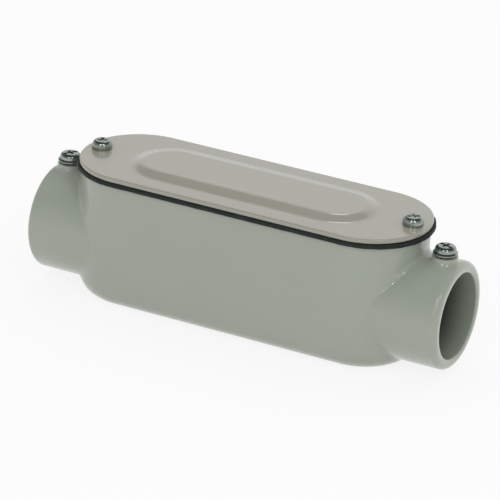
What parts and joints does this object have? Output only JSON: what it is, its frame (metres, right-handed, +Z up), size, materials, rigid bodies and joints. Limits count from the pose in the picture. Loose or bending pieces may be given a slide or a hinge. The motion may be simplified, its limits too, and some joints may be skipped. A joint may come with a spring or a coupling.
{
  "type": "conduit body",
  "caption": "Straight-through cast conduit body with a gasketed raised-panel cover and a set-screw hub at each end.",
  "frame": {"origin": "centre of the flat underside, midway between the hubs", "axes": "+X along the conduit through the hubs, +Z up through the cover, +Y across"},
  "size_m": [0.1588, 0.0452, 0.0528],
  "materials": {
    "casting_enamel": "satin grey enamel on die-cast aluminium",
    "cover_enamel": "glossy grey enamel on pressed aluminium",
    "neoprene": "matt black die-cut sheet",
    "zinc_screw": "bright zinc plate"
  },
  "bodies": {
    "fitting": {"body_casting": "casting_enamel", "gasket": "neoprene", "cover": "cover_enamel", "cover_screw_left": "zinc_screw", "cover_screw_right": "zinc_screw"},
    "left_set_screw": {"set_screw_left": "zinc_screw"},
    "right_set_screw": {"set_screw_right": "zinc_screw"}
  },
  "joints": [
    {"name": "left_set_screw_travel", "type": "slide", "parent": "fitting", "child": "left_set_screw", "axis": [0, 0, 1], "range_m": [-0.0006, 0.004]},
    {"name": "right_set_screw_travel", "type": "slide", "parent": "fitting", "child": "right_set_screw", "axis": [0, 0, 1], "range_m": [-0.0006, 0.004]}
  ]
}
